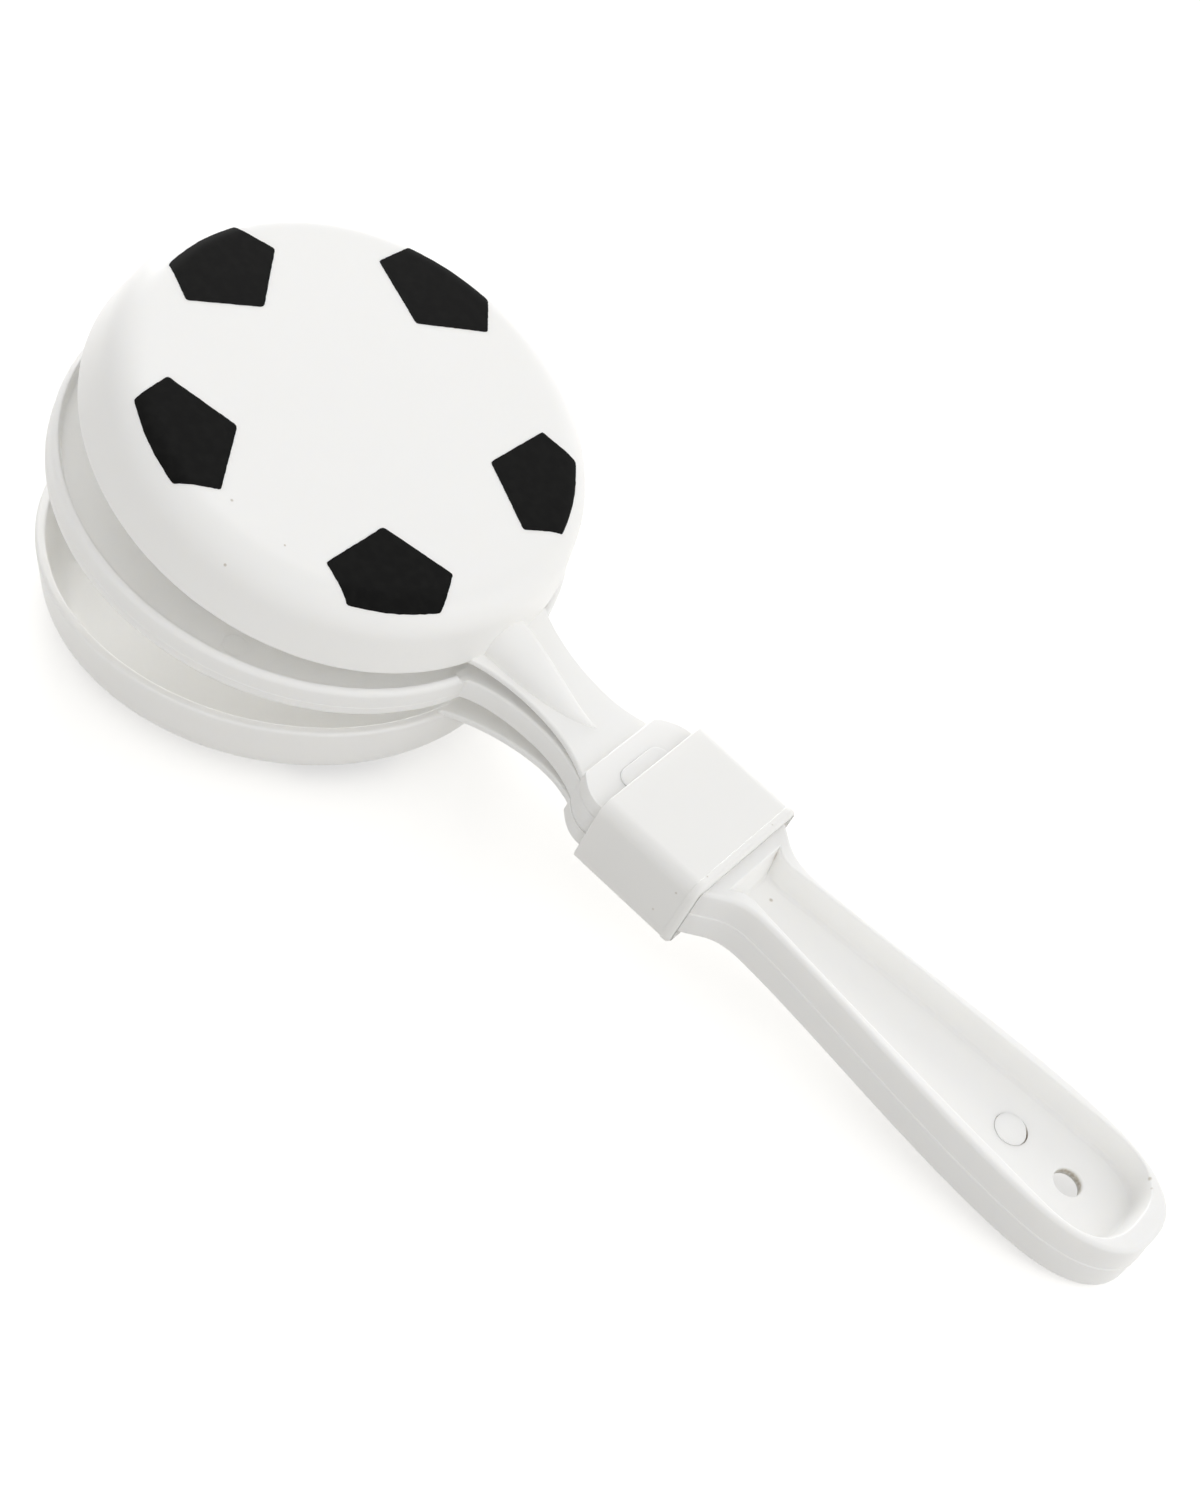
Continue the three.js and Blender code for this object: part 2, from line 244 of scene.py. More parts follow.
def chain(corners, hold=HOLD):
    """A polyline whose corners (a, b, radius) are rounded. At each corner the arc touches both
    runs at radius / tan(half the corner's angle), and its centre lies on the angle's middle line.
    Large roundings get two more steps for each millimetre of radius."""
    spots = [np.array(corner[:2], float) for corner in corners]
    line = [spots[0]]
    for before, spot, after, (_, _, radius) in zip(spots, spots[1:], spots[2:], corners[1:]):
        to_before = (before - spot) / np.linalg.norm(before - spot)
        to_after = (after - spot) / np.linalg.norm(after - spot)
        half = np.arccos(np.clip(to_before @ to_after, -1, 1)) / 2
        if radius == 0:
            line.append(spot)
            continue
        touch = radius / np.tan(half)
        middle = to_before + to_after
        centre = spot + middle / np.linalg.norm(middle) * radius / np.sin(half)
        first = spot + to_before * touch - centre
        last = spot + to_after * touch - centre
        sweep = np.pi - 2 * half
        t = np.linspace(0, 1, EDGE_STEPS + int(2 * radius) + 1)[:, None]
        arc = (np.sin((1 - t) * sweep) * first + np.sin(t * sweep) * last) / np.sin(sweep)
        line += [spot + to_before * (touch + hold), *(centre + arc),
                 spot + to_after * (touch + hold)]
    line.append(spots[-1])
    return np.array(line)


# %% [markdown]
# A line becomes a surface in one of two ways: a rectangle with rounded corners is set at each x
# along a bar, or a profile is turned about the z axis. Blender's Bevel and Spin could do both, but
# worked out like this, each rounding has its own radius and its faces stay even.

# %% Helpers: rounded sections and turned profiles
def rounded_sections(x, half_width, bottom, top, radius):
    """Closed loops, one for each station x: a rectangle from bottom to top and half_width to each
    side, with its four corners rounded. Corner k spans the angles k*90 to k*90+90 degrees."""
    x, half_width, bottom, top, radius = np.broadcast_arrays(
        *(np.asarray(v, float) for v in (x, half_width, bottom, top, radius)))
    loops = []
    for corner, (side, level) in enumerate(((1, 1), (-1, 1), (-1, -1), (1, -1))):
        angle = np.pi / 2 * (corner + np.linspace(0, 1, EDGE_STEPS + 1))
        edge = top if level > 0 else bottom
        y = side * (half_width - radius)[:, None] + radius[:, None] * np.cos(angle)
        z = (edge - level * radius)[:, None] + radius[:, None] * np.sin(angle)
        held_y = side * np.maximum(half_width - radius - HOLD, 0)[:, None]
        flat = np.stack([held_y, edge[:, None]], -1)
        arc = np.stack([y, z], -1)
        upright = corner in (0, 2)
        loops.append(np.concatenate([arc, flat] if upright else [flat, arc], 1))
    loop = np.concatenate(loops, 1)
    return np.concatenate([np.broadcast_to(x[:, None, None], (*loop.shape[:2], 1)), loop], -1)


def turned_profile(profile, steps=240):
    """A profile of (radius, z) turned about the z axis: x = r cos(angle), y = r sin(angle)."""
    angle = np.arange(steps) / steps * 2 * np.pi
    r, z = profile[:, :1], profile[:, 1:]
    return np.stack([r * np.cos(angle), r * np.sin(angle), z + 0 * angle], -1)


# %% [markdown]
# ## The outlines along the clapper
#
# Seen from above, the neck, both arms, the hinge plates and the block inside the collar share one
# outline: a waist between the cups and the crease, then ears that bulge out to the full width.
# Writing the outline once, as a half width for each x, keeps all the layers flush.

# %% Half widths of the neck and the ears
NECK_ROOT, NECK_ROOT_HALF = 36.1, 8.8
WAIST_X, WAIST_HALF = 48.5, 5.5
CREASE_HALF = 7.7
EAR_FULL_X, FULL_HALF = 62.9, 10.6

root_run, crease_run = WAIST_X - NECK_ROOT, CREASE_X - WAIST_X
neck_line = np.concatenate([
    run((NECK_ROOT, NECK_ROOT_HALF),
        (NECK_ROOT + 0.22 * root_run, between(WAIST_HALF, NECK_ROOT_HALF, 0.27)),
        (WAIST_X - 0.4 * root_run, WAIST_HALF), (WAIST_X, WAIST_HALF)),
    run((WAIST_X, WAIST_HALF), (WAIST_X + 0.42 * crease_run, WAIST_HALF),
        (CREASE_X - 0.3 * crease_run, between(WAIST_HALF, CREASE_HALF, 0.36)),
        (CREASE_X, CREASE_HALF))[1:],
])
ear_line = run((CREASE_X, CREASE_HALF), (CREASE_X + 1.3, CREASE_HALF + 1.5),
               (EAR_FULL_X - 2.0, FULL_HALF), (EAR_FULL_X, FULL_HALF))
layer_line = np.concatenate([neck_line, ear_line[1:]])


def layer_half(x):
    """Half width of the neck, the arms and the ears at x, read off the shared outline."""
    return np.interp(x, layer_line[:, 0], layer_line[:, 1])


print("waist", 2 * WAIST_HALF, "mm, ears", 2 * FULL_HALF, "mm across")

# %% [markdown]
# ## The paddle: disc, neck, block and grip in one moulding
#
# The disc in the middle is what the cups hit. It is a thin round web inside a rim, so it could be
# a cylinder with a smaller one taken out of each face. A section turned about the z axis is
# better: the same chain of corners sets the draft of the rim's inner wall, the large rounding that
# the fingers feel, and the fine ridge where the two mould halves met. Where the arms cross it, the
# rim is lower, which is one soft step in the angle.

# %% The disc
DISC_RADIUS = 37.82
DISC_TOP = 2.6
WEB_TOP = 1.0
RIM_INNER_TOP = 36.75           # the rim's inner wall leans: it is narrower at its top
RIM_INNER_FOOT = 36.1
PARTING, PARTING_PROUD = -0.55, 0.05    # level of the ridge on the disc's wall, and its height
PASSAGE_TOP = 1.9               # rim height under the arms
PASSAGE_HALF = 9.1

disc_face = chain([(0, WEB_TOP, 0), (RIM_INNER_FOOT, WEB_TOP, 0.35),
                   (RIM_INNER_TOP, DISC_TOP, 0.15), (DISC_RADIUS, DISC_TOP, 0.95),
                   (DISC_RADIUS, 0.4, 0)], hold=0.04)
parting_ridge = [(DISC_RADIUS, PARTING), (DISC_RADIUS + PARTING_PROUD, PARTING - 0.08),
                 (DISC_RADIUS + PARTING_PROUD, PARTING - 0.18), (DISC_RADIUS, PARTING - 0.24)]
disc_profile = np.concatenate([
    disc_face, parting_ridge, [(DISC_RADIUS, -1.0)], disc_face[-2::-1] * (1, -1)])
passage_edge = np.arcsin(PASSAGE_HALF / DISC_RADIUS)
disc_angles = np.unique(np.concatenate([
    np.arange(240) * np.pi / 120 - np.pi,
    *(side * passage_edge + np.linspace(-0.03, 0.03, 13) for side in (1, -1)),
]).round(6))


def disc_points():
    """The profile turned about z, with z held between the passage's faces near angle 0. The limit
    rises from the passage to the rim's top within half a millimetre of the passage's side."""
    r, z = disc_profile[:, :1], disc_profile[:, 1:]
    x, y = r * np.cos(disc_angles), r * np.sin(disc_angles)
    side = np.where(x > 0, np.abs(y), DISC_RADIUS)
    limit = between(PASSAGE_TOP, DISC_TOP, eased((side - PASSAGE_HALF) / 0.5 + 0.5))
    return np.stack([x, y, np.clip(z + 0 * x, -limit, limit)], -1)


disc = shell("disc", disc_points())
print("disc", 2 * DISC_RADIUS, "mm across, web", 2 * WEB_TOP, "mm thick")

# %% [markdown]
# The neck and the block behind the ears are one flat bar with a changing width. It could be cut
# from a plate, but the same loop of a rounded rectangle, set at each x along the bar, gives its
# edge roundings at no cost.

# %% The neck, the block and the shoulder inside the collar
NECK_TOP = 1.9
BAR_START, BAR_END = 35.2, 77.0     # both ends are hidden, in the disc's rim and the shoulder
SHOULDER_X, SHOULDER_END, SHOULDER_TOP = 76.15, 81.1, 5.0
SHOULDER_HALF = FULL_HALF - 0.05

bar_x = np.concatenate([np.linspace(BAR_START, 57.5, 70), np.linspace(57.7, 63.2, 40),
                        [66, BAR_END]])
bar = shell("bar", closed_with_centres(
    rounded_sections(bar_x, layer_half(bar_x), -NECK_TOP, NECK_TOP, 0.4)))
shoulder_x = np.array([SHOULDER_X, SHOULDER_END])
shoulder = shell("shoulder", closed_with_centres(
    rounded_sections(shoulder_x, SHOULDER_HALF, -SHOULDER_TOP, SHOULDER_TOP, 0.4)))
print("neck", 2 * NECK_TOP, "mm thick, shoulder", 2 * SHOULDER_TOP, "mm thick")

# %% [markdown]
# Each face of the block carries a lug. On the real toy its head shows in a slot of the hinge plate,
# half under the collar. It is a bar with two round ends, built as loops that shrink to a line.

# %% The lugs
LUG_X, LUG_RADIUS, LUG_REACH = 63.0, 2.0, 2.8
LUG_FOOT, LUG_TOP = 1.0, 4.62   # sunk in the block, and a hair above the hinge plate


def round_bar(radius, z):
    """Loops of a bar with two round ends across x = LUG_X: half circles of the radius about the
    points LUG_REACH to each side. Radius and z are given level by level."""
    radius, z = np.asarray(radius, float)[:, None], np.asarray(z, float)[:, None]
    half_turn = np.linspace(0, np.pi, 25)
    angle = np.concatenate([half_turn, half_turn + np.pi])
    reach = np.repeat([LUG_REACH, -LUG_REACH], len(half_turn))
    x = LUG_X + radius * np.cos(angle)
    return np.stack([x, reach + radius * np.sin(angle), z + 0 * x], -1)


lug_side = chain([(0, LUG_TOP, 0), (LUG_RADIUS, LUG_TOP, 0.15), (LUG_RADIUS, LUG_FOOT, 0)])
lug_levels = np.concatenate([lug_side, [(0, LUG_FOOT)]])
lugs = [shell("lug", round_bar(lug_levels[:, 0], side * lug_levels[:, 1])) for side in (1, -1)]
print("lug heads", LUG_TOP, "mm from the middle plane")

# %% [markdown]
# The grip is a bar with a long pocket in each face. The pocket could be cut out of the bar, but the
# cut would leave its walls upright and its edges sharp. Instead the whole grip is one skin of
# nested loops: from the middle line of the upper floor out to the wall, up and over the rim, down
# the outside past the parting line, and the same way back below. Each loop is an outline moved
# inward by some distance at some height.

# %% The grip's two outlines
GRIP_TOP = 4.8
GRIP_START = 80.4
GRIP_END = 155.2
BELLY_X, BELLY_HALF = 138.0, 10.3
POCKET_FRONT, POCKET_END = 83.2, 151.8
POCKET_BELLY_X, POCKET_BELLY_HALF = 142.0, 8.85


def round_end(centre_x, half, end_x, power, steps=48):
    """A squarish round end: along = sin(angle)^(2/power), across = cos(angle)^(2/power)."""
    angle = np.linspace(0, np.pi / 2, steps + 1)
    along, across = np.sin(angle) ** (2 / power), np.cos(angle) ** (2 / power)
    return np.stack([centre_x + (end_x - centre_x) * along, half * across], -1)


grip_waist = (89.2, 6.35)
outer_line = np.concatenate([
    run((GRIP_START, FULL_HALF), (83.9, 8.7), (84.4, grip_waist[1]), grip_waist),
    run(grip_waist, (101.9, 6.6), (121.9, BELLY_HALF), (BELLY_X, BELLY_HALF), 48)[1:],
    round_end(BELLY_X, BELLY_HALF, GRIP_END, 2.5)[1:],
])
pocket_waist = (86.6, 4.5)
pocket_line = np.concatenate([
    run((POCKET_FRONT - 1.0, 7.4), (83.6, 5.2), (84.9, pocket_waist[1]), pocket_waist),
    run(pocket_waist, (96.0, 5.75), (126.0, 8.0), (POCKET_BELLY_X, POCKET_BELLY_HALF), 48)[1:],
    round_end(POCKET_BELLY_X, POCKET_BELLY_HALF, POCKET_END, 2.6)[1:],
])
print("grip", round(GRIP_END - GRIP_START, 1), "mm long,", 2 * BELLY_HALF, "mm across")

# %% [markdown]
# Blender can inset a face, but a loop that it insets keeps its points at the old spacing, and they
# crowd at the ends. Here each moved line is spread anew in even steps, and every loop gets the same
# number of points, so that neighbouring loops join in even faces.

# %% Helpers: loops of the grip
LOOP_POINTS = 120


def moved_inward(line, distance):
    """Each point goes along the line's normal, which is its tangent turned a quarter turn. The
    last point lies on the middle line and only moves along x."""
    tangent = np.gradient(line, axis=0)
    tangent /= np.linalg.norm(tangent, axis=1, keepdims=True)
    normal = np.stack([tangent[:, 1], -tangent[:, 0]], -1)
    normal[-1] = (-1.0, 0.0)
    moved = line + distance * normal
    return np.stack([moved[:, 0], np.maximum(moved[:, 1], 0)], -1)


def half_loop(line, distance, start_x):
    """The moved line, started at start_x and spread over LOOP_POINTS even steps of its length."""
    moved = moved_inward(line, distance)
    inside = moved[moved[:, 0] > start_x]
    before = moved[0]
    if before[0] < start_x:
        before = moved[np.searchsorted(moved[:, 0], start_x) - 1]
    share = (start_x - before[0]) / max(inside[0, 0] - before[0], 1e-9)
    first = np.array([start_x, between(before[1], inside[0, 1], np.clip(share, 0, 1))])
    whole = np.concatenate([[first], inside])
    length = np.concatenate([[0], np.cumsum(np.linalg.norm(np.diff(whole, axis=0), axis=1))])
    even = np.linspace(0, length[-1], LOOP_POINTS)
    return np.stack([np.interp(even, length, whole[:, axis]) for axis in (0, 1)], -1)


def full_loop(half, z):
    """The half outline and its mirror image, one closed loop at height z."""
    both = np.concatenate([half, half[::-1] * (1, -1)])
    return np.concatenate([both, np.full((len(both), 1), float(z))], 1)


# %% [markdown]
# The levels are two chains. The pocket's wall leans by 1.2 mm over its depth so that it leaves the
# mould, and ends in a soft foot. The outer wall leans a little both ways from the parting line,
# where the two mould halves met with a small step.

# %% The grip's skin
FLOOR_TOP = 0.85
FLOOR_INSET = 2.4               # the flat floor starts this far inside the pocket's outline
POCKET_DRAFT = 1.2
WALL_LEAN = 0.06
GRIP_ROUNDING = 0.8
MOULD_SHIFT, LOWER_SHIFT = 0.16, 0.02   # how far each mould half stands inside the parting line
pocket_wall = chain([(-0.5, GRIP_TOP, 0), (0, GRIP_TOP, 0.25), (POCKET_DRAFT, FLOOR_TOP, 0.7),
                     (FLOOR_INSET, FLOOR_TOP, 0)], hold=0.02)[1:]


def half_skin(inset):
    """Loops from the floor's middle line to the parting line. The outer wall stands inward by the
    inset at its foot and by the inset and WALL_LEAN at its top. Where the rim is narrowest, 1.1 mm,
    its two roundings just fit beside each other."""
    rounding = GRIP_ROUNDING - inset
    outer_wall = chain([(1.4, GRIP_TOP, 0), (inset + WALL_LEAN, GRIP_TOP, rounding),
                        (inset, inset + 0.06, 0)], hold=0.02)[1:]
    middle_line = half_loop(pocket_line, FLOOR_INSET, POCKET_FRONT + FLOOR_INSET) * (1, 0)
    loops = [full_loop(middle_line, FLOOR_TOP)]
    loops += [full_loop(half_loop(pocket_line, d, POCKET_FRONT + d), z)
              for d, z in pocket_wall[::-1]]
    loops += [full_loop(half_loop(outer_line, d, GRIP_START), z)
              for d, z in np.concatenate([outer_wall, [(inset, inset), (0.0, 0.0)]])]
    return np.array(loops)


grip = shell("grip", np.concatenate([
    half_skin(MOULD_SHIFT), half_skin(LOWER_SHIFT)[-2::-1] * (1, 1, -1)]))
print("web between the pockets", 2 * FLOOR_TOP, "mm thick")

# %% [markdown]
# Two things are cut or added in the floor of the pockets. The hanging hole has a softened edge, so
# its cutter is a turned shape with flared ends. The round mark beside it is where a pin pushed the
# moulding out of its mould: a disc almost a tenth of a millimetre proud, in a fine groove. The pin
# stood a little askew, so the groove is wider on one side. A fainter ring sits on the disc.

# %% The hanging hole, the pin marks, and the paddle in one piece
HOLE_X, HOLE_RADIUS, HOLE_EDGE = 141.9, 2.1, 0.3
HOLE_REACH = 1.6                # the cutter's half height
PIN_X, PIN_RADIUS, PIN_PROUD = 131.8, 2.5, 0.08
PIN_ASKEW = np.radians(33)      # the direction in which the groove is widest
FAINT_MARK = (13.53, -30.54)

flare = np.linspace(0, np.pi / 2, EDGE_STEPS + 1)
flare_line = np.stack([HOLE_RADIUS + HOLE_EDGE * (1 - np.sin(flare)),
                       FLOOR_TOP - HOLE_EDGE * (1 - np.cos(flare))], -1)
upper_half = np.concatenate([[(0, HOLE_REACH), (HOLE_RADIUS + 0.8, HOLE_REACH)], flare_line])
hole_profile = np.concatenate([upper_half, upper_half[::-1] * (1, -1)])
hole = shell("hole", turned_profile(hole_profile, 64) + (HOLE_X, 0, 0))


def pin_mark(x, level, radius):
    """A low disc with a rounded edge on a face at the given level. Its lower half is sunk."""
    profile = chain([(0, PIN_PROUD, 0), (radius, PIN_PROUD, 0.05), (radius, -0.3, 0), (0, -0.3, 0)],
                    hold=0.01)
    return shell("pin", turned_profile(profile + (0, level), 72) + (x, 0, 0))


def pin_groove(x, y, level, radius, wide, depth, narrow=0.05, steps=96):
    """A ring cut into a face at the given level. Its width over the angle a is
    narrow + wide max(0, cos(a - PIN_ASKEW))^3, taken inward from the radius."""
    angle = np.arange(steps) / steps * 2 * np.pi
    outer = np.full(steps, radius)
    inner = radius - narrow - wide * np.maximum(0, np.cos(angle - PIN_ASKEW)) ** 3
    low, high = np.full(steps, level - depth), np.full(steps, level + 0.4)
    rows = [(inner, low), (outer, low), (outer, high), (inner, high), (inner, low)]
    return shell("groove", np.array([
        np.stack([x + r * np.cos(angle), y + r * np.sin(angle), z], -1) for r, z in rows]))


pin = pin_mark(PIN_X, FLOOR_TOP, PIN_RADIUS - 0.02)
grooves = [pin_groove(PIN_X, 0, FLOOR_TOP, PIN_RADIUS, wide=0.26, depth=0.6),
           pin_groove(*FAINT_MARK, WEB_TOP, 1.8, wide=0.0, depth=0.05)]
paddle = melted("paddle_moulding", grip, added=[disc, bar, shoulder, *lugs, pin],
                cut=[hole, *grooves])
set_down(paddle)
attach(paddle, "handle")
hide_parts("paddle")

# %% [markdown]
# ## The two clappers: a cup, a thin arm and a hinge plate in one moulding
#
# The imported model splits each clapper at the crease, because a rigid solid cannot bend. The real
# one is a single moulding whose thin arm flexes, so it is drawn here as one skin. First the cup: a
# shallow pan with a leaning skirt, a generous rounding to the crown, and an even wall. A section
# turned about the z axis gives the outside, the rim's lip and the hollow in one line.

# %% The cup
CUP_RIM = 36.94
CUP_FOOT = 2.6                  # the rim's edge, which meets the disc when it claps
CROWN_TOP = 13.14
CROWN_SWELL = 0.3
SWELL_FROM, SWELL_FULL = 9.0, 11.0      # the swell fades in between these heights
CROWN_FLAT = 28.0               # the crown's flat is drawn out to this radius
CROWN_CORNER = 34.8             # where the crown's plane and the skirt would meet
CROWN_ROUNDING = 5.4
ROUNDING_REACH = 0.81           # part of the flat that the rounding takes, as a share of its radius
CUP_WALL = 1.5
ARM_BOTTOM, ARM_TOP = 2.2, 3.3


def swell(radius):
    """The crown's middle stands a little higher: CROWN_SWELL (1 - (r / R)^2) inside R."""
    flat = CROWN_CORNER - CROWN_ROUNDING * ROUNDING_REACH
    return CROWN_SWELL * (1 - np.minimum(radius / flat, 1) ** 2)


def with_swell(profile):
    """Adds the swell to every point of a profile that lies near the crown."""
    near_crown = eased((profile[:, 1] - SWELL_FROM) / (SWELL_FULL - SWELL_FROM))
    return np.stack([profile[:, 0], profile[:, 1] + near_crown * swell(profile[:, 0])], -1)


def crown_line(level, steps=16):
    """Points across the flat of the crown, from the middle outward."""
    return np.stack([np.linspace(0, CROWN_FLAT, steps), np.full(steps, level)], -1)[:-1]


cup_wall = chain([(CROWN_FLAT, CROWN_TOP, 0), (CROWN_CORNER, CROWN_TOP, CROWN_ROUNDING),
                  (CUP_RIM, CUP_FOOT, 0.45), (CUP_RIM - CUP_WALL, CUP_FOOT, 0.4),
                  (CROWN_CORNER - CUP_WALL, CROWN_TOP - CUP_WALL, CROWN_ROUNDING - CUP_WALL),
                  (CROWN_FLAT, CROWN_TOP - CUP_WALL, 0)])
cup_profile = with_swell(np.concatenate([
    crown_line(CROWN_TOP), cup_wall, crown_line(CROWN_TOP - CUP_WALL)[::-1]]))
print("cup", 2 * CUP_RIM, "mm across,", round(CROWN_TOP - CUP_FOOT, 2), "mm deep")

# %% [markdown]
# The arm is a strip a millimetre thick with the shared outline, and on its back a round ridge
# stiffens it. The ridge could be half a cone on the middle line, but on the photographed toy its
# foot is curved like a bullet and it stands aside, so both are written into its formula. The strip
# starts inside the skirt's wall, where its first loops follow the circle of the wall, and it ends a
# little inside the hinge plate.

# %% The arm and its ridge
ROOT_RADIUS = 36.2              # middle of the skirt's wall
RIDGE_HALF, RIDGE_HEIGHT, RIDGE_ASIDE = 4.0, 3.8, 1.8
RIDGE_START, RIDGE_TIP = 35.8, 54.1
ARM_INSIDE = 59.6               # the strip's end, hidden in the hinge plate


def arm_points():
    """Rounded sections along x with the shared outline. Past the crease they draw in by a tenth
    or two of a millimetre, which hides them in the plate. Near the root every point is drawn back
    by R - sqrt(R^2 - y^2), so that the first section lies on the skirt's circle."""
    x = np.concatenate([np.linspace(ROOT_RADIUS, 56.2, 70), np.linspace(56.4, ARM_INSIDE, 33)])
    half = np.where(x < CREASE_X, layer_half(x), CREASE_HALF - 0.02)
    inside = eased((x - CREASE_X - 0.25) / 0.3)
    points = rounded_sections(x, half - 0.2 * inside, ARM_BOTTOM + 0.1 * inside, ARM_TOP, 0.3)
    back = ROOT_RADIUS - np.sqrt(ROOT_RADIUS ** 2 - points[..., 1] ** 2)
    points[..., 0] -= back * (1 - eased((points[..., 0] - ROOT_RADIUS) / 6))
    return points


def ridge_points():
    """Half ellipses that shrink along x: y = w sin(angle) - a, z = h cos(angle). With s the share
    of the way to the tip, the half width w and the height h fall as 1 - s^1.6. The ridge stands
    aside of the arm's middle line by a, which falls as 1 - s^5. Its foot is sunk in the arm."""
    share = np.sin(np.linspace(0, np.pi / 2, 60))[:, None]
    size, aside = 1 - share ** 1.6, RIDGE_ASIDE * (1 - share ** 5)
    angle = np.linspace(-np.pi / 2, np.pi / 2, 33)
    y = RIDGE_HALF * size * np.sin(angle) - aside
    z = ARM_TOP - 0.02 + RIDGE_HEIGHT * size * np.cos(angle)
    top = np.stack([between(RIDGE_START, RIDGE_TIP, share) + 0 * y, y, z], -1)
    foot = top[:, [-1, 0]] - (0, 0, 0.6)
    return closed_with_centres(np.concatenate([top, foot], 1))


print("arm", round(ARM_TOP - ARM_BOTTOM, 2), "mm thick, its ridge", RIDGE_HEIGHT, "mm high")

# %% [markdown]
# The hinge plate is over twice as thick as the arm, so the crease shows as a step. Its edges are
# rounded by a tenth of a millimetre only: wider roundings caught the light as white lines that the
# photograph doesn't have. The lug of the paddle shows in its slot.

# %% The hinge plate and the slot
PLATE_FRONT, PLATE_END = 58.05, 75.85
PLATE_BOTTOM, PLATE_TOP = 1.96, 4.45
PLATE_EDGE = 0.12
SLOT_GAP = 0.04


def plate_points():
    """Rounded sections with the ears' outline. At the front all sides but the bottom shrink by
    e - sqrt(e^2 - (e - d)^2), with d the distance from the front and e the edge's rounding."""
    lead = PLATE_FRONT + PLATE_EDGE * (1 - np.cos(np.linspace(0, np.pi / 2, EDGE_STEPS + 1)))
    x = np.concatenate([lead, np.linspace(58.45, 63.2, 36), [66.0, 70.0, PLATE_END]])
    ahead = np.clip(PLATE_EDGE - (x - PLATE_FRONT), 0, None)
    shrink = PLATE_EDGE - np.sqrt(PLATE_EDGE ** 2 - ahead ** 2)
    return closed_with_centres(rounded_sections(
        x, layer_half(x) - shrink, PLATE_BOTTOM, PLATE_TOP - shrink, PLATE_EDGE))


def slot_points():
    """The lug's outline with a gap all round, through the plate."""
    radius, low, high = LUG_RADIUS + SLOT_GAP, 1.0, 6.0
    return round_bar([0, radius, radius, 0], [low, low, high, high])


print("hinge plate", round(PLATE_TOP - PLATE_BOTTOM, 2), "mm thick")

# %% [markdown]
# The moulding is drawn closed and lying on the disc. It is then opened about its crease. Turning
# the whole cup as a rigid piece would tear it from the plate, so the angle fades from full to
# nothing within the last millimetre and a third of the arm, as the real plastic bends. The lower
# clapper is the same moulding turned over.

# %% Both clappers, opened and set down
BEND_START, BEND_END = 56.6, 57.9
OPENINGS = {"upper_clapper": np.radians(6.8), "lower_clapper": np.radians(10.0)}


def opened(points, angle):
    """Turned about the crease by the angle before the bend, by nothing after it, eased between."""
    held = 1 - eased((points[..., 0] - BEND_START) / (BEND_END - BEND_START))
    return turned_about_y(points, angle * held, CREASE_X, CREASE_Z)


def place_of(body):
    """How the clapper's points are set down: opened, turned over about the x axis if it is the
    lower one (y and z change sign), then moved to the table."""
    side = 1 if body == "upper_clapper" else -1
    return lambda points: on_the_table(opened(points, OPENINGS[body]) * (1, side, side))


def clapper(body, cup_node, plate_node):
    """One clapper moulding, bent open at its crease and set down."""
    cup = shell("cup", turned_profile(cup_profile))
    arm = shell("arm", closed_with_centres(arm_points()))
    ridge = shell("ridge", ridge_points())
    plate = shell("plate", plate_points())
    slot = shell("slot", slot_points())
    piece = melted(body + "_moulding", cup, added=[arm, ridge, plate], cut=[slot])
    place = place_of(body)
    set_down(piece, place)
    bend = place(np.array([[BEND_START, 0, CREASE_Z], [BEND_END, 0, CREASE_Z]])) * MM
    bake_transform(piece)
    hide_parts(cup_node, plate_node)
    return piece


upper = clapper("upper_clapper", "upper_cup", "upper_hinge_plate")
lower = clapper("lower_clapper", "lower_cup", "lower_hinge_plate")

# %% [markdown]
# ## The collar
#
# A square sleeve is pushed over the hinge plates from the grip's end and keeps everything together.
# Its long edges are rounded by two millimetres, its front edge is crisp, and a thin lip runs round
# its rear end. One chain of levels goes along the outside, over the rear edge and back through the
# bore, and each level is a rounded rectangle.

# %% The collar
COLLAR_FRONT, COLLAR_END = 63.6, 81.4
COLLAR_HALF, COLLAR_TOP = 11.9, 6.5
BORE_HALF, BORE_TOP = 10.9, 5.3
COLLAR_ROUNDING, BORE_ROUNDING = 2.0, 0.3
LIP_LENGTH, LIP_PROUD = 1.4, 0.12


def sleeve_levels(line, half, top, radius):
    """Each point (x, d) of the line becomes (x, half + d, top + d, radius + d): a rounded
    rectangle at x whose half width, half height and corners have grown by d."""
    return [(x, half + d, top + d, radius + d) for x, d in line]


outer_chain = chain([(COLLAR_FRONT, -0.6, 0), (COLLAR_FRONT, 0, 0.1),
                     (COLLAR_END - LIP_LENGTH, 0, 0.05), (COLLAR_END - LIP_LENGTH, LIP_PROUD, 0.05),
                     (COLLAR_END, LIP_PROUD, 0.8), (COLLAR_END, -1.0, 0)], hold=0.01)
bore_chain = chain([(COLLAR_END, 0.5, 0), (COLLAR_END, 0, 0.15), (COLLAR_FRONT, 0, 0.15),
                    (COLLAR_FRONT, 0.5, 0)], hold=0.05)
sleeve = sleeve_levels(outer_chain, COLLAR_HALF, COLLAR_TOP, COLLAR_ROUNDING)
sleeve += sleeve_levels(bore_chain, BORE_HALF, BORE_TOP, BORE_ROUNDING)
along, half, top, rounding = np.array(sleeve + sleeve[:1]).T
collar = shell("collar_sleeve", rounded_sections(along, half, -top, top, rounding))
set_down(collar)
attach(collar, "handle")
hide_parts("collar")

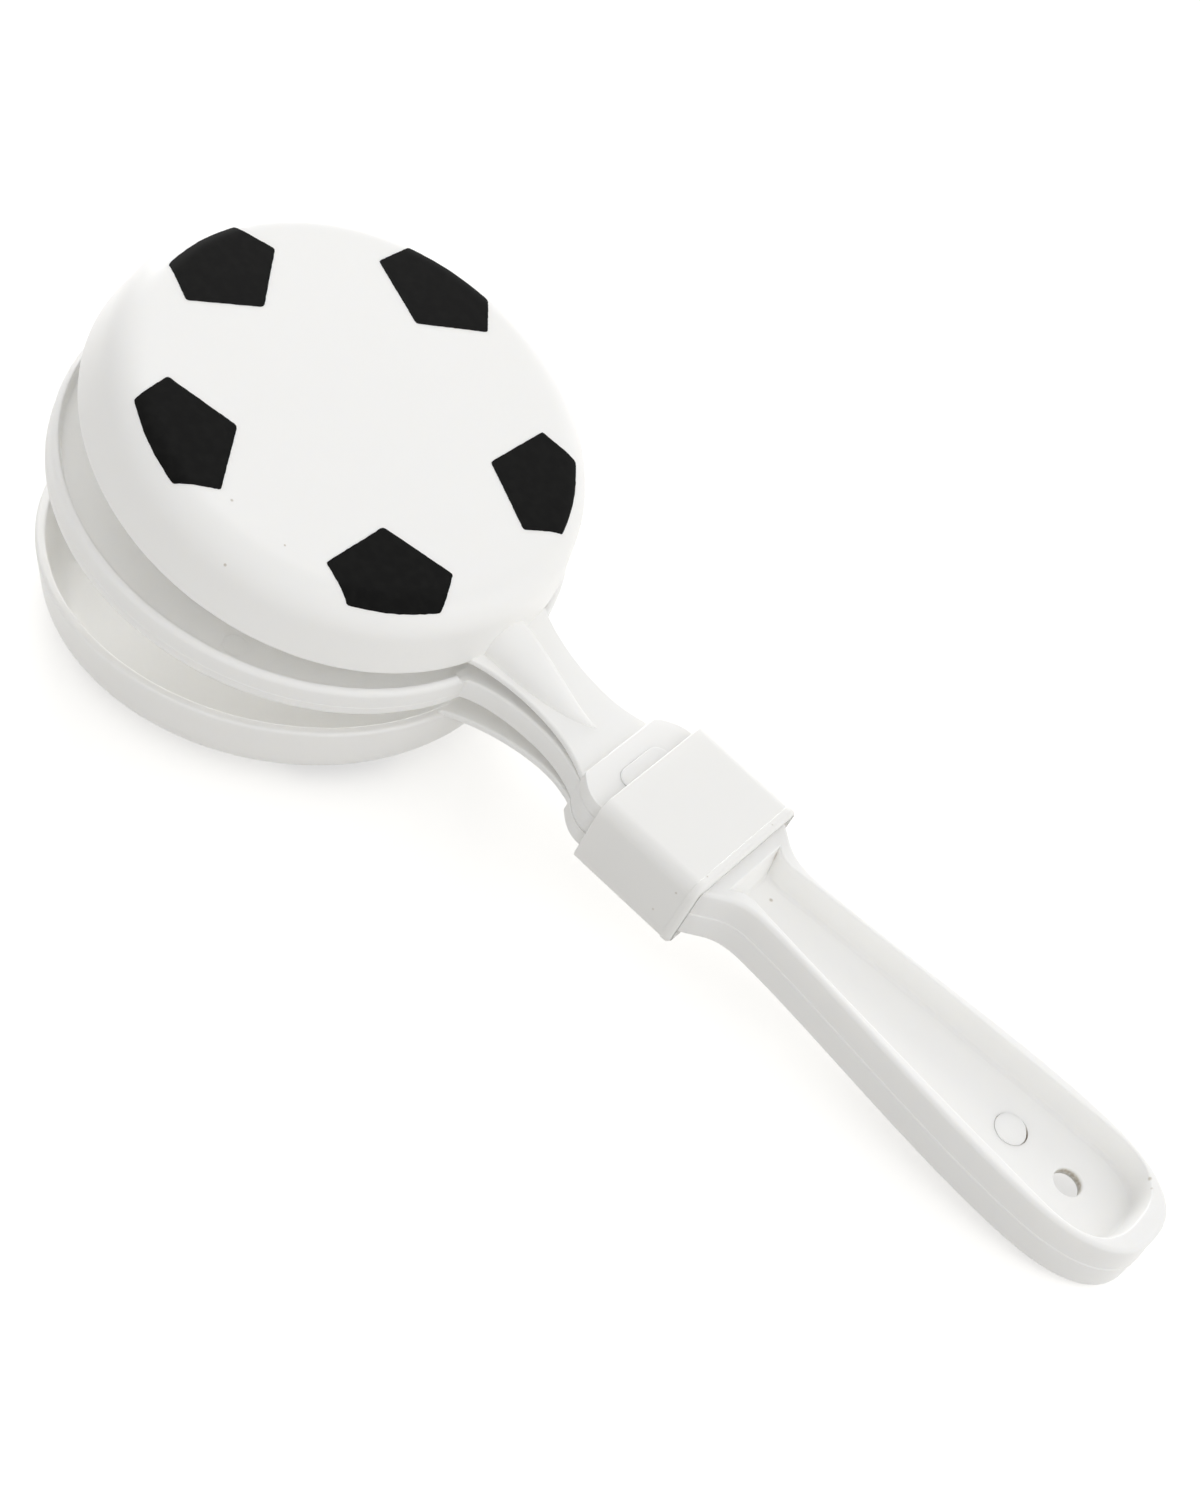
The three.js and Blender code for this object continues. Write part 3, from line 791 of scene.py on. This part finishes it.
# %% [markdown]
# ## The printed patches
#
# Five black patches on each crown make the cup look like a football. They could be painted in the
# material by their distance from five points, but their corners are drawn by straight lines, and a
# printed film has an edge. So each patch is a very thin skin with its own outline, which is drawn
# flat first.

# %% The outline of a patch
PATCH_INNER = (19.5, 0.0)       # radius from the print's centre, and angle in degrees
PATCH_SHOULDER = (27.6, 19.4)
PATCH_OUTER = (32.6, 11.9)
PATCH_BOW = 0.7                 # the outer side follows the circle, this far outside its chord
PATCH_STEPS = 22                # points along each of the five sides


def patch_outline():
    """The patch's corners in the print's polar form, joined by straight lines. The outer side bows
    out by PATCH_BOW sin(pi t). Last, each point moves a quarter of the way to each neighbour's
    middle, which takes the points off the corners."""
    def corner(spot, side=1):
        angle = np.radians(spot[1]) * side
        return spot[0] * np.array([np.cos(angle), np.sin(angle)])
    corners = [corner(PATCH_INNER), corner(PATCH_SHOULDER, -1), corner(PATCH_OUTER, -1),
               corner(PATCH_OUTER), corner(PATCH_SHOULDER), corner(PATCH_INNER)]
    t = np.linspace(0, 1, PATCH_STEPS, endpoint=False)[:, None]
    sides = [a + (b - a) * t for a, b in zip(corners, corners[1:])]
    sides[2] = sides[2] + np.array([1.0, 0.0]) * PATCH_BOW * np.sin(np.pi * t)
    sharp = np.concatenate(sides)
    return (np.roll(sharp, 1, 0) + 2 * sharp + np.roll(sharp, -1, 0)) / 4


print("patch outline of", len(patch_outline()), "points")

# %% [markdown]
# The outline is carried round five times and laid over the crown. Shrinkwrap could press it on, but
# the crown's profile is known, so each point simply reads its height there. The print's centre sits
# a fraction of a millimetre beside the cup's, as it does on the real one.

# %% The patches on both crowns
PRINT_CENTRE = np.array([0.56, -0.64])
PATCH_TURNS = np.radians([181.4, 109.3, 33.5, -36.5, -110.3])   # a little uneven, as on the toy
INK_PROUD, INK_SUNK = 0.035, 0.1    # the film's top above the crown, and its hidden underside
RAGGED = 0.02
SKIRT_RADIUS = 35.4             # the skirt takes over from the crown's rounding here


def crown_height(radius):
    """Height of the cup's outside over a radius: the swollen flat, then the rounding's circle."""
    rows = cup_profile[:len(cup_profile) // 2]
    rows = rows[:np.argmax(rows[:, 0] > SKIRT_RADIUS)]
    return np.interp(radius, rows[:, 0], rows[:, 1])


def patch_points(turn, ragged):
    """A grid from the patch's middle to its outline on the crown, and back underneath. The ragged
    edge moves the outline by a few hundredths of a millimetre."""
    outline = patch_outline() + ragged
    cos, sin = np.cos(turn), np.sin(turn)
    outline = outline @ np.array([[cos, sin], [-sin, cos]]) + PRINT_CENTRE
    middle = outline.mean(0)
    share = np.linspace(0, 1, 26)
    plan = middle + share[:, None, None] * (outline - middle)
    height = crown_height(np.hypot(plan[..., 0], plan[..., 1]))
    over = np.concatenate([plan, (height + INK_PROUD)[..., None]], -1)
    under = np.concatenate([plan, (height - INK_SUNK)[..., None]], -1)[::-1]
    return np.concatenate([over, under])


def five_patches(name, body, seed):
    """Five skins in one piece, set down like the cup that carries them."""
    chance = np.random.default_rng(seed)
    skins = [shell("patch", patch_points(turn, chance.normal(0, RAGGED, (5 * PATCH_STEPS, 2))))
             for turn in PATCH_TURNS]
    first = skins[0]
    with bpy.context.temp_override(active_object=first, selected_editable_objects=skins):
        bpy.ops.object.join()
    first.name = first.data.name = name
    set_down(first, place_of(body))
    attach(first, body)
    return first


upper_print = five_patches("upper_patches", "upper_clapper", 3)
lower_print = five_patches("lower_patches", "lower_clapper", 4)

# %% [markdown]
# ## White moulded plastic
#
# The toy is moulded in a white styrene that is a little warm and half glossy. A flat white would look like paper,
# so the finish has quiet layers: a fine orange peel in the gloss, slow waves where the melt flowed, rare specks,
# and painted shade, a darker colour in a few corners and on the wall of the hanging hole. All patterns read the
# place where each point was drawn, so they stay put on the piece when the arms bend.

# %% Helpers for the finishes
def wired(tree, kind, inputs=None, **settings):
    """A node of the kind, with its settings, and its inputs set to values or joined to sockets."""
    node = tree.nodes.new(kind)
    for name, value in settings.items():
        setattr(node, name, value)
    for name, value in (inputs or {}).items():
        if isinstance(value, bpy.types.NodeSocket):
            tree.links.new(value, node.inputs[name])
        else:
            node.inputs[name].default_value = value
    return node


def fade(tree, value, low, high, start=0.0, end=1.0):
    """Share of the way from low to high, as a value from start to end, held at both."""
    node = wired(tree, "ShaderNodeMapRange", {
        "Value": value, "From Min": low, "From Max": high, "To Min": start, "To Max": end})
    return node.outputs["Result"]


def noise(tree, place, scale, detail):
    """Soft noise over the drawn places, in features of about 1 / scale metres."""
    node = wired(tree, "ShaderNodeTexNoise", {"Vector": place, "Scale": scale, "Detail": detail})
    return node.outputs["Fac"]


def mixed(tree, share, first, second):
    """The first colour, with the given share of the second. A mix node has such sockets for each
    kind of value, so those of the colours go by number."""
    first_colour, second_colour, mixed_colour = 6, 7, 2
    node = wired(tree, "ShaderNodeMix", {
        "Factor": share, first_colour: first, second_colour: second}, data_type="RGBA")
    return node.outputs[mixed_colour]


def new_finish(name):
    """A new material, its node tree, its shader, and the drawn places for its patterns to read."""
    material = bpy.data.materials.new(name)
    material.use_nodes = True
    tree = material.node_tree
    place = wired(tree, "ShaderNodeAttribute", attribute_name="drawn").outputs["Vector"]
    return material, tree, tree.nodes["Principled BSDF"], place


def set_bumps(tree, shader, height, strength, distance):
    """Lets the height tilt the shader's normal. The distance is in metres."""
    bump = wired(tree, "ShaderNodeBump", {
        "Height": height, "Strength": strength, "Distance": distance})
    tree.links.new(bump.outputs["Normal"], shader.inputs["Normal"])


# %% [markdown]
# Specks and patches of painted shade could be painted on an image. As every point knows where it was drawn, a ball
# round a spot is simpler: its mask is 1 in the middle and fades to 0 at its edge. A ball for painted shade may be
# flattened, and several masks can be joined.

# %% Helpers: masks for specks and painted shade
def near(tree, place, spot, size):
    """1 around a drawn spot and 0 beyond the size, by the length of (place - spot) / size. Spot and
    size are in millimetres, one number for each axis."""
    apart = wired(tree, "ShaderNodeVectorMath", {
        0: place, 1: tuple(v * MM for v in spot)}, operation="SUBTRACT")
    scaled = wired(tree, "ShaderNodeVectorMath", {
        0: apart.outputs["Vector"], 1: tuple(v * MM for v in size)}, operation="DIVIDE")
    length = wired(tree, "ShaderNodeVectorMath", {0: scaled.outputs["Vector"]}, operation="LENGTH")
    return fade(tree, length.outputs["Value"], 0.45, 1.0, 1.0, 0.0)


def any_of(tree, masks):
    """The strongest of several masks at each place."""
    strongest = masks[0]
    for mask in masks[1:]:
        strongest = wired(tree, "ShaderNodeMath", {0: strongest, 1: mask},
                          operation="MAXIMUM").outputs[0]
    return strongest


# %% [markdown]
# The finish puts these layers together on the standard shader. Light goes some way into styrene
# before it comes out again, which softens the shadows between the pieces. Glass-like volume could
# show that too, but it is slow and grainy; the shader's own numbers for share and depth are enough.

# %% The white plastic
FLOW, GLOSS, PEEL, GRIT = 30.0, 90.0, 1400.0, 2500.0    # features per metre of each pattern


def white_plastic(name, colour, shade, roughness, depth, spots=(), painted_shades=()):
    """The moulded finish: slow waves between the colour and the shade, a fine peel, specks at the spots (x, y, z,
    size) and painted shade (spot, size, colour, share), a darker colour broken up by noise where shade falls.
    Depth is the share of light that goes into the plastic, and how far, in metres."""
    material, tree, shader, place = new_finish(name)
    waves = noise(tree, place, FLOW, 1.0)
    look = mixed(tree, fade(tree, waves, 0.3, 0.75, 0.0, 0.4), colour, shade)
    if spots:
        specks = any_of(tree, [near(tree, place, spot[:3], (spot[3],) * 3) for spot in spots])
        look = mixed(tree, fade(tree, specks, 0.0, 1.0, 0.0, 0.55), look, SPECK)
    # Painted shade: each entry darkens the colour near its spot, broken up by noise, where shade falls.
    for spot, size, shade_colour, share in painted_shades:
        shade_mask = wired(tree, "ShaderNodeMath", {
            0: near(tree, place, spot, size),
            1: fade(tree, noise(tree, place, GRIT, 3.0), 0.35, 0.6, 0.35, share),
        }, operation="MULTIPLY").outputs[0]
        look = mixed(tree, shade_mask, look, shade_colour)
    tree.links.new(look, shader.inputs["Base Color"])
    gloss = noise(tree, place, GLOSS, 2.0)
    tree.links.new(fade(tree, gloss, 0.3, 0.7, roughness - 0.02, roughness + 0.03),
                   shader.inputs["Roughness"])
    set_bumps(tree, shader, noise(tree, place, PEEL, 3.0), 0.12, 0.06 * MM)
    shader.inputs["IOR"].default_value = 1.5
    shader.inputs["Subsurface Weight"].default_value = depth[0]
    shader.inputs["Subsurface Radius"].default_value = (1.0, 0.97, 0.9)
    shader.inputs["Subsurface Scale"].default_value = depth[1]
    return material


# %% [markdown]
# One white for all four mouldings would be simpler, but they were moulded apart: the collar is a little greyer,
# and the paddle is the lightest. Each has its own specks, where they are on the toy. Shade is painted as a darker
# colour in the hanging hole, in the pocket's front corner and in the groove of the pin mark.

# %% The whites of the four mouldings
PADDLE_COLOURS = (0.975, 0.969, 0.943, 1), (0.965, 0.957, 0.928, 1)
CUP_COLOURS = (0.968, 0.962, 0.937, 1), (0.958, 0.95, 0.922, 1)
COLLAR_COLOURS = (0.92, 0.913, 0.888, 1), (0.905, 0.896, 0.868, 1)
SPECK = (0.40, 0.33, 0.24, 1)
# Painted shade: a dark brown colour on the hanging hole's wall and edge, where the hole looks dark from shadow.
HOLE_PAINTED_SHADE = (0.42, 0.34, 0.22, 1)
# Painted shade: a dark colour in the pocket's front corner and in the groove of the pin mark, where shade falls.
CORNER_PAINTED_SHADE = (0.30, 0.22, 0.13, 1)
HANDLE_SPOTS = [(84.9, -4.5, 4.8, 0.2), (87.35, 1.01, 0.85, 0.35), (95.03, 4.92, 4.8, 0.35),
                (149.49, 6.87, 4.6, 0.35), (150.53, 5.79, 4.6, 0.25), (148.74, 6.45, 0.9, 0.35),
                (150.54, 3.94, 0.9, 0.3), (151.15, 0.28, 0.9, 0.35)]
# Painted shade on the paddle: darker colour in the hanging hole, the pocket's front corner and the pin mark's
# groove.
HANDLE_PAINTED_SHADE = [((HOLE_X, 0, 0), (3.4, 3.4, 0.9), HOLE_PAINTED_SHADE, 0.95),
                 ((83.3, 5.2, 2.3), (0.7, 0.8, 2.0), CORNER_PAINTED_SHADE, 0.6),
                 ((PIN_X + 2.0, 1.3, 0.4), (1.6, 1.6, 0.42), CORNER_PAINTED_SHADE, 0.8)]
COLLAR_SPOTS = [(80.2, -8.67, 6.5, 0.22), (80.6, 6.14, 6.5, 0.22), (77.16, -11.9, -2.16, 0.18),
                (78.59, -11.9, 3.55, 0.2)]
UPPER_SPOTS = [(8.26, -34.07, 10.53, 0.28), (2.12, -28.08, 13.24, 0.28),
               (11.08, -26.64, 13.23, 0.22)]
LOWER_SPOTS = [(9.89, 35.34, 5.78, 0.3), (9.08, 35.56, 5.29, 0.2)]
paddle_white = white_plastic("paddle_white", *PADDLE_COLOURS, 0.33, (0.5, 0.001), HANDLE_SPOTS,
                             HANDLE_PAINTED_SHADE)
upper_white = white_plastic("upper_cup_white", *CUP_COLOURS, 0.32, (0.4, 0.001), UPPER_SPOTS)
lower_white = white_plastic("lower_cup_white", *CUP_COLOURS, 0.32, (0.4, 0.001), LOWER_SPOTS)
collar_white = white_plastic("collar_white", *COLLAR_COLOURS, 0.32, (0.3, 0.0015), COLLAR_SPOTS)
print("whites:", [m.name for m in (paddle_white, upper_white, lower_white, collar_white)])

# %% [markdown]
# ## Black print
#
# The patches are printed by a soft pad in a matt ink. A plain black would look like a hole in the
# toy: the real film is a little lighter where the pad pressed less, and its fine grain spreads the
# light. A scanned print could carry that, but two patterns of noise do it at any distance.

# %% The ink, and a finish for every piece
PRESS, GRAIN = 700.0, 4000.0    # features per metre of the ink's two patterns


def black_ink(name):
    """Matt print: a black that is slightly uneven where the pad pressed, with a fine grain."""
    material, tree, shader, place = new_finish(name)
    press = noise(tree, place, PRESS, 5.0)
    tree.links.new(mixed(tree, fade(tree, press, 0.4, 0.75), (0.005, 0.005, 0.0048, 1),
                         (0.009, 0.009, 0.0085, 1)), shader.inputs["Base Color"])
    tree.links.new(fade(tree, press, 0.3, 0.7, 0.5, 0.62), shader.inputs["Roughness"])
    set_bumps(tree, shader, noise(tree, place, GRAIN, 2.0), 0.2, 0.03 * MM)
    shader.inputs["Specular IOR Level"].default_value = 0.06
    return material


ink = black_ink("print_ink")
for piece, finish in ((paddle, paddle_white), (upper, upper_white), (lower, lower_white),
                      (collar, collar_white), (upper_print, ink), (lower_print, ink)):
    piece.data.materials.clear()
    piece.data.materials.append(finish)
    print(piece.name, "is finished in", finish.name)

# %% [markdown]
# ## The table and the light
#
# The photograph shows the toy alone on pure white. Its tones fit a soft light from all sides that
# is twice as bright on the grip's side as on the cups' side, and two large soft lamps: a strong low
# one at the back left and a weak one on the right. A wide pale floor catches the shadow.

# %% The floor
scene = bpy.context.scene
scene.view_settings.view_transform = "Standard"

FLOOR_HALF, FLOOR_DROP = 3.0, 0.02 * MM
floor_corners = FLOOR_HALF * np.array([(-1, -1), (1, -1), (1, 1), (-1, 1)], float)
floor_mesh = bpy.data.meshes.new("floor")
floor_mesh.from_pydata([(x, y, -FLOOR_DROP) for x, y in floor_corners], [], [(0, 1, 2, 3)])
floor = bpy.data.objects.new("floor", floor_mesh)
scene.collection.objects.link(floor)
print("floor", 2 * FLOOR_HALF, "m wide")

# %% [markdown]
# A white floor could be lit until it burns out, but that light would burn the toy as well. So for
# the light the floor is a plain pale surface, and only the camera and reflections see a little glow
# in it, which brings its lit parts to white. Seen from below, the floor is clear, so that the
# underside can be looked at.

# %% The floor's finish
def seen_on(tree, *kinds):
    """1 on rays of the named kinds and 0 on all others."""
    rays = wired(tree, "ShaderNodeLightPath")
    return any_of(tree, [rays.outputs[kind] for kind in kinds])


FLOOR_GLOW = 0.55
floor_material = bpy.data.materials.new("floor_white")
floor_material.use_nodes = True
tree = floor_material.node_tree
tree.nodes.clear()
matt = wired(tree, "ShaderNodeBsdfDiffuse", {"Color": (0.66, 0.65, 0.63, 1)}).outputs["BSDF"]
seen = seen_on(tree, "Is Camera Ray", "Is Glossy Ray", "Is Transmission Ray")
glow_strength = wired(tree, "ShaderNodeMath", {0: seen, 1: FLOOR_GLOW}, operation="MULTIPLY")
glow = wired(tree, "ShaderNodeEmission", {"Color": (1, 1, 1, 1),
                                          "Strength": glow_strength.outputs[0]})
lit = wired(tree, "ShaderNodeAddShader", {0: matt, 1: glow.outputs[0]})
clear = wired(tree, "ShaderNodeBsdfTransparent")
below = wired(tree, "ShaderNodeNewGeometry").outputs["Backfacing"]
both = wired(tree, "ShaderNodeMixShader", {0: below, 1: lit.outputs[0], 2: clear.outputs[0]})
wired(tree, "ShaderNodeOutputMaterial", {"Surface": both.outputs[0]})
floor_mesh.materials.append(floor_material)
print("floor glow", FLOOR_GLOW)

# %% [markdown]
# The light from all sides could come from a picture of a studio. A straight slope of brightness
# along x says the same in two numbers. The camera and reflections see plain white instead.

# %% The sky
SKY_LIGHT = 0.77
SKY_TILT = 0.35                 # how much brighter the sky is on the grip's side, as a share
world = bpy.data.worlds.new("studio")
world.use_nodes = True
scene.world = world
tree = world.node_tree
tree.nodes.clear()
direction = wired(tree, "ShaderNodeTexCoord").outputs["Generated"]
along = wired(tree, "ShaderNodeSeparateXYZ", {"Vector": direction}).outputs["X"]
soft_sky = fade(tree, along, -1.0, 1.0, SKY_LIGHT * (1 - SKY_TILT), SKY_LIGHT * (1 + SKY_TILT))
strength = wired(tree, "ShaderNodeMix", {
    "Factor": seen_on(tree, "Is Camera Ray", "Is Glossy Ray"), "A": soft_sky, "B": 1.0})
sky = wired(tree, "ShaderNodeBackground", {"Color": (1, 1, 1, 1),
                                           "Strength": strength.outputs["Result"]})
wired(tree, "ShaderNodeOutputWorld", {"Surface": sky.outputs[0]})
print("sky", SKY_LIGHT, "with a tilt of", SKY_TILT)

# %% [markdown]
# A lamp could be placed by its three coordinates, but a photographer walks round the toy with it.
# So each lamp is given by its direction, its height in degrees, its distance and its size.

# %% The lamps
AIM = Vector((0, 0, 0.02))      # the toy's middle, which both lamps look at


def towards(azimuth, elevation):
    """The direction (cos e cos a, cos e sin a, sin e) at the azimuth a and the elevation e, which
    are given in degrees."""
    a, e = np.radians([azimuth, elevation])
    return np.array([np.cos(e) * np.cos(a), np.cos(e) * np.sin(a), np.sin(e)])


def soft_lamp(name, azimuth, elevation, distance, size, power):
    """A square lamp, its size and distance in metres and its power in watts, that looks at the
    toy."""
    place = Vector(towards(azimuth, elevation) * distance)
    data = bpy.data.lights.new(name, "AREA")
    data.shape, data.size, data.energy = "SQUARE", size, power
    lamp = bpy.data.objects.new(name, data)
    lamp.location = place
    lamp.rotation_mode = "QUATERNION"
    lamp.rotation_quaternion = (AIM - place).to_track_quat("-Z", "Y")
    scene.collection.objects.link(lamp)
    print(name, power, "W")


soft_lamp("back_left_lamp", azimuth=135, elevation=15, distance=1.1, size=0.6, power=8.5)
soft_lamp("right_lamp", azimuth=20, elevation=35, distance=1.1, size=0.8, power=1.0)

# %% [markdown]
# ## The camera
#
# The camera was found by fitting a pinhole to measured points of the photograph: the rims of the
# three discs, the collar's corners and the grip's outline. It is given as a direction around the
# toy, a distance, a roll and a lens, because these are easy to read. Its own Blender form is a
# matrix whose columns are its right, its up and its back.

# %% The camera
AZIMUTH, ELEVATION, ROLL = -66.469, 45.040, np.radians(-20.499)
TARGET = np.array([-0.003054, 0.000722, 0.017451])
DISTANCE = 0.417686
LENS, SENSOR = 72.488, 36.0

back = towards(AZIMUTH, ELEVATION)
level_right = np.cross(-back, (0, 0, 1))
level_right /= np.linalg.norm(level_right)
level_down = np.cross(-back, level_right)
right = np.cos(ROLL) * level_right + np.sin(ROLL) * level_down
up = np.sin(ROLL) * level_right - np.cos(ROLL) * level_down
camera_data = bpy.data.cameras.new("camera")
camera_data.lens, camera_data.sensor_width = LENS, SENSOR
camera_data.clip_start, camera_data.clip_end = 0.01, 50.0
camera = bpy.data.objects.new("camera", camera_data)
pose = np.eye(4)
pose[:3, 0], pose[:3, 1], pose[:3, 2], pose[:3, 3] = right, up, back, TARGET + back * DISTANCE
camera.matrix_world = Matrix(pose.tolist())
scene.collection.objects.link(camera)
scene.camera = camera
print("camera at", (TARGET + back * DISTANCE).round(4))
